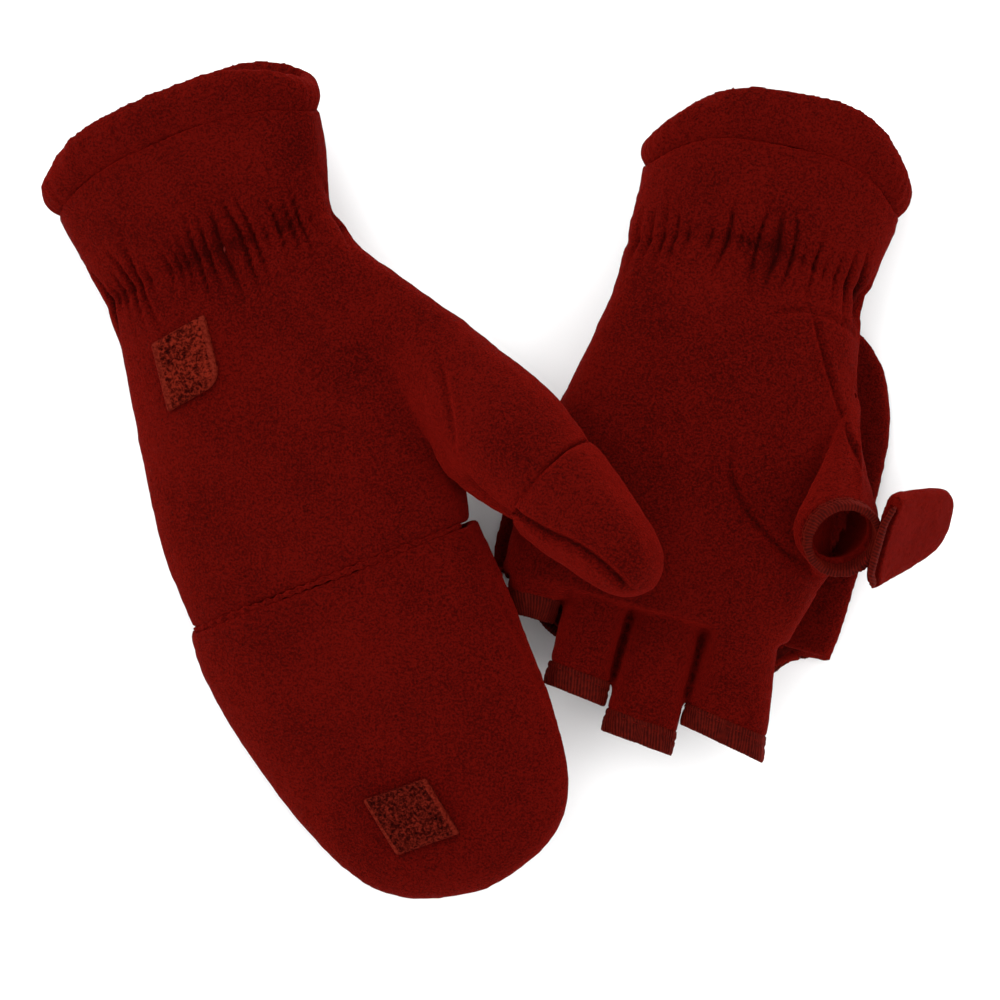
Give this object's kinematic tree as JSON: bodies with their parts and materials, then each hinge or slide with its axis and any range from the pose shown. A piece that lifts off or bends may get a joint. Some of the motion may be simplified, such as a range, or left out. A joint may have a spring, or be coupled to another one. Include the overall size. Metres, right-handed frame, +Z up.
{
  "type": "convertible flip-top mittens",
  "caption": "Pair of fleece flip-top mittens: one lies back up and closed, the other palm up with its caps folded back from open half-finger stalls.",
  "frame": {"origin": "centre of the pair's bounding box, on the table that both lie on", "axes": "+Z up from the table; +X across the pair, from the closed mitten to the open glove; +Y toward the cuffs"},
  "size_m": [0.2632, 0.2333, 0.0765],
  "materials": {
    "fleece": "brushed, pilled fleece",
    "lining": "short soft pile",
    "knit_binding": "ribbed knit",
    "hook_patch": "woven tape with stiff hooks",
    "loop_patch": "woven tape with soft loops",
    "elastic": "braided elastic"
  },
  "bodies": {
    "left_glove": {"left_back_panel": "fleece", "left_palm_panel": "fleece", "left_back_lining": "lining", "left_palm_lining": "lining", "left_cuff": "fleece", "left_cuff_hem": "fleece", "left_wrist_elastic": "elastic", "left_index_stall": "fleece", "left_middle_stall": "fleece", "left_ring_stall": "fleece", "left_little_stall": "fleece", "left_finger_bindings": "knit_binding", "left_thumb_stall": "fleece", "left_thumb_binding": "knit_binding", "left_hook_patch": "hook_patch", "left_cap_seam": "knit_binding"},
    "left_cap": {"left_cap_back": "fleece", "left_cap_back_lining": "lining", "left_loop_patch": "loop_patch"},
    "left_cap_palm": {"left_cap_palm": "fleece", "left_cap_palm_lining": "lining", "left_cap_binding": "knit_binding"},
    "left_thumb_cap": {"left_thumb_cap_back": "fleece"},
    "left_thumb_cap_pad": {"left_thumb_cap_pad": "fleece", "left_thumb_cap_binding": "knit_binding"},
    "right_mitten": {"right_back_panel": "fleece", "right_palm_panel": "fleece", "right_back_lining": "lining", "right_palm_lining": "lining", "right_cuff": "fleece", "right_cuff_hem": "fleece", "right_wrist_elastic": "elastic", "right_index_stall": "fleece", "right_middle_stall": "fleece", "right_ring_stall": "fleece", "right_little_stall": "fleece", "right_finger_bindings": "knit_binding", "right_thumb_stall": "fleece", "right_thumb_binding": "knit_binding", "right_hook_patch": "hook_patch", "right_cap_seam": "knit_binding"},
    "right_cap": {"right_cap_back": "fleece", "right_cap_back_lining": "lining", "right_loop_patch": "loop_patch"},
    "right_cap_palm": {"right_cap_palm": "fleece", "right_cap_palm_lining": "lining", "right_cap_binding": "knit_binding"},
    "right_thumb_cap": {"right_thumb_cap_back": "fleece"},
    "right_thumb_cap_pad": {"right_thumb_cap_pad": "fleece", "right_thumb_cap_binding": "knit_binding"}
  },
  "joints": [
    {"name": "right_mitten_lift", "type": "slide", "parent": "left_glove", "child": "right_mitten", "axis": [0, 0, 1], "range_m": [0, 0.15]},
    {"name": "right_cap_flip", "type": "hinge", "parent": "right_mitten", "child": "right_cap", "pos_m": [-0.05446, -0.028, 0.0394], "axis": [-0.895, -0.3507, -0.2756], "range_deg": [0, 175]},
    {"name": "right_cap_mouth", "type": "hinge", "parent": "right_cap", "child": "right_cap_palm", "pos_m": [-0.016, -0.11389, 0.02383], "axis": [-0.895, -0.3507, -0.2756], "range_deg": [-14, 0], "deforming": ["right_cap_palm", "right_cap_palm_lining", "right_cap_binding"]},
    {"name": "right_thumb_cap_flip", "type": "hinge", "parent": "right_mitten", "child": "right_thumb_cap", "pos_m": [0.00686, 0.00295, 0.0701], "axis": [-0.6569, -0.7114, -0.2498], "range_deg": [0, 150]},
    {"name": "right_thumb_cap_mouth", "type": "hinge", "parent": "right_thumb_cap", "child": "right_thumb_cap_pad", "pos_m": [0.0383, -0.0253, 0.06786], "axis": [-0.6569, -0.7114, -0.2498], "range_deg": [-27, 0], "deforming": ["right_thumb_cap_pad", "right_thumb_cap_binding"]},
    {"name": "left_cap_flip", "type": "hinge", "parent": "left_glove", "child": "left_cap", "pos_m": [0.03569, -0.03576, 0.0092], "axis": [-0.9659, 0.2588, 0], "range_deg": [0, 178]},
    {"name": "left_cap_mouth", "type": "hinge", "parent": "left_cap", "child": "left_cap_palm", "pos_m": [0.06002, 0.05504, 0.004], "axis": [-0.9659, 0.2588, 0], "range_deg": [-14, 0], "deforming": ["left_cap_palm", "left_cap_palm_lining", "left_cap_binding"]},
    {"name": "left_thumb_cap_flip", "type": "hinge", "parent": "left_glove", "child": "left_thumb_cap", "pos_m": [0.10353, -0.01595, 0.04336], "axis": [-0.2396, -0.8943, -0.378], "range_deg": [0, 125]},
    {"name": "left_thumb_cap_mouth", "type": "hinge", "parent": "left_thumb_cap", "child": "left_thumb_cap_pad", "pos_m": [0.1286, -0.0123, 0.01883], "axis": [-0.2396, -0.8943, -0.378], "range_deg": [-27, 0], "deforming": ["left_thumb_cap_pad", "left_thumb_cap_binding"]}
  ],
  "couplings": [
    {"joint": "right_cap_mouth", "follows": "right_cap_flip", "ratio": -0.07714},
    {"joint": "right_thumb_cap_mouth", "follows": "right_thumb_cap_flip", "ratio": -0.17333},
    {"joint": "left_cap_mouth", "follows": "left_cap_flip", "ratio": -0.07584},
    {"joint": "left_thumb_cap_mouth", "follows": "left_thumb_cap_flip", "ratio": -0.208}
  ]
}
